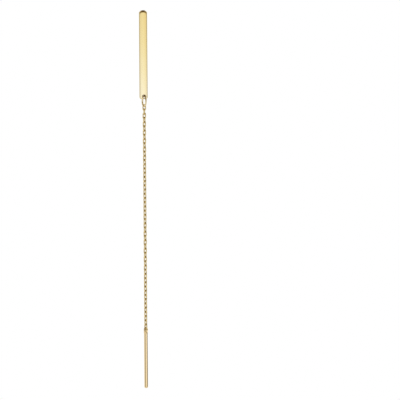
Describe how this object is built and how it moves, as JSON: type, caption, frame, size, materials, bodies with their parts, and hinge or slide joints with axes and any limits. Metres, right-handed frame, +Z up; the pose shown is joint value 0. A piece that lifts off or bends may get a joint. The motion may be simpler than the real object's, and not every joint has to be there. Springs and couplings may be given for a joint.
{
  "type": "threader dangle earring",
  "caption": "Slim polished bar with a jump ring, a fine cable chain and a round wire pin that threads through the ear piercing.",
  "frame": {"origin": "crown of the bar's arched top end, on the bar's centre line and midway through its thickness, where the hanging earring is held", "axes": "+Z up along the bar, -Z down the chain to the pin's tip, -Y out of the bar's front face, +X to the right seen from the front"},
  "size_m": [0.0018, 0.0026, 0.085],
  "materials": {
    "bar_gold": "mirror-polished pale yellow gold with fine polishing lines along the bar",
    "wire_gold": "bright drawn and polished yellow gold wire"
  },
  "bodies": {
    "bar_and_chain": {"bar": "bar_gold", "jump_ring": "wire_gold", "chain": "wire_gold"},
    "pin": {"pin": "wire_gold"}
  },
  "joints": [
    {"name": "pin_swing", "type": "hinge", "parent": "bar_and_chain", "child": "pin", "pos_m": [0.00012, 0, -0.07191], "axis": [0.766, -0.6428, 0], "range_deg": [-120, 120]}
  ]
}
